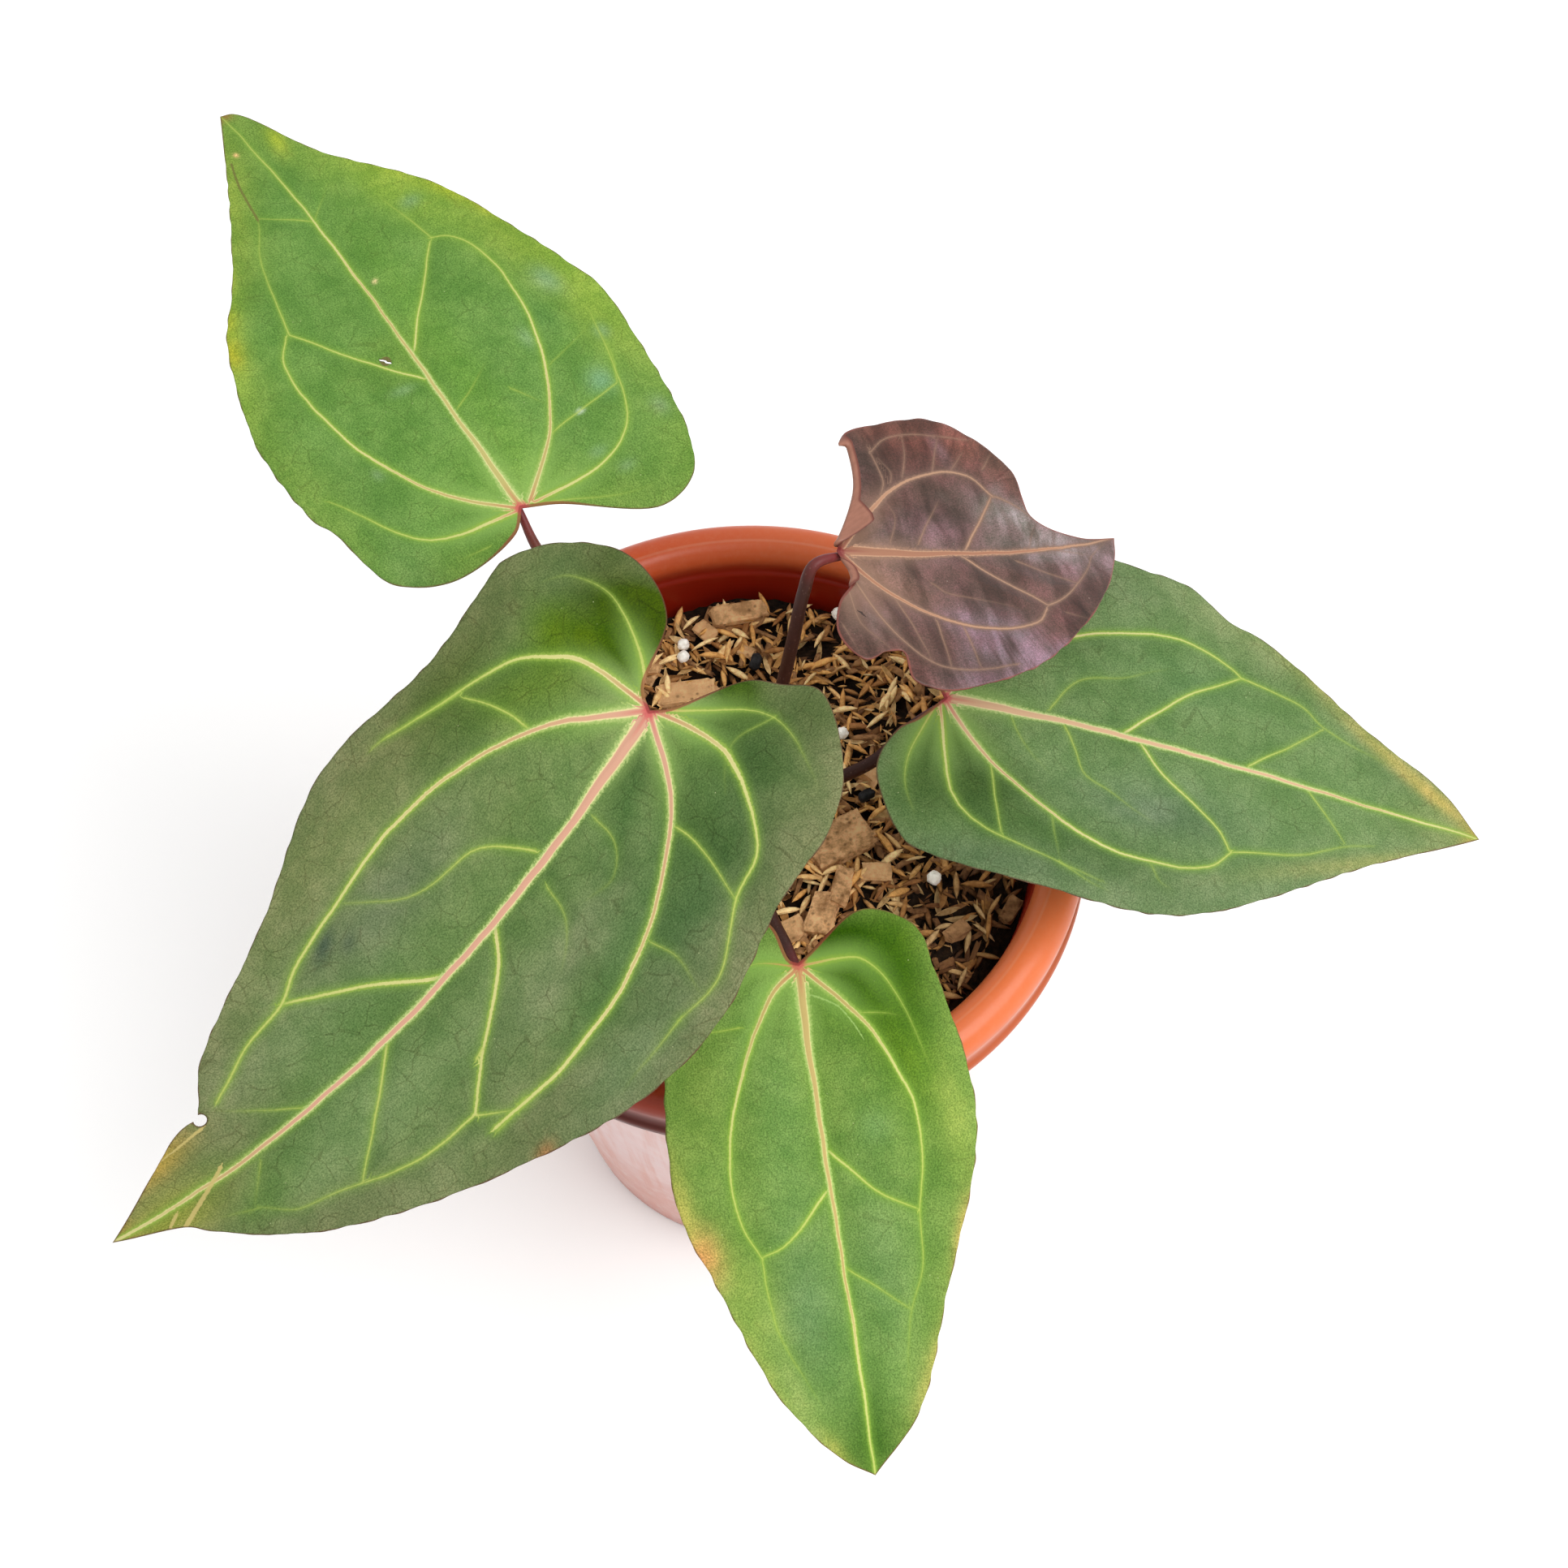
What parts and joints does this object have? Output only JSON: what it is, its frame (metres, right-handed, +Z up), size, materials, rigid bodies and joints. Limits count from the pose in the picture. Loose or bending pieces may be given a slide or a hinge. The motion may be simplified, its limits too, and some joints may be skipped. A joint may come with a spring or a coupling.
{
  "type": "potted anthurium plant",
  "caption": "Young velvet-leaved anthurium with drooping heart-shaped leaves on slender stalks, growing in a round terracotta-coloured plastic nursery pot.",
  "frame": {"origin": "middle of the pot's flat underside", "axes": "+Z up, the front of the plant towards -Y and +X to the right as seen from the front"},
  "size_m": [0.3598, 0.3823, 0.2877],
  "materials": {
    "pot": "smooth moulded terracotta-coloured plastic, paler and pinker on the body than on the rim",
    "potting_mix": "loose dry rice husks and bark with white perlite",
    "stem": "rough brown stem with leaf scars",
    "stalk": "smooth maroon-brown stalk with fine pale speckles",
    "blade": "velvety green leaf with pale veins",
    "blade_young": "satin bronze-purple young leaf with peach veins"
  },
  "bodies": {
    "root": {"pot": "pot", "potting_mix": "potting_mix", "stem": "stem", "stalk_back_left": "stalk", "blade_back_left": "blade", "stalk_front_left": "stalk", "blade_front_left": "blade", "stalk_young": "stalk", "blade_young": "blade_young", "stalk_front": "stalk", "blade_front": "blade", "stalk_right": "stalk", "blade_right": "blade"}
  },
  "joints": []
}
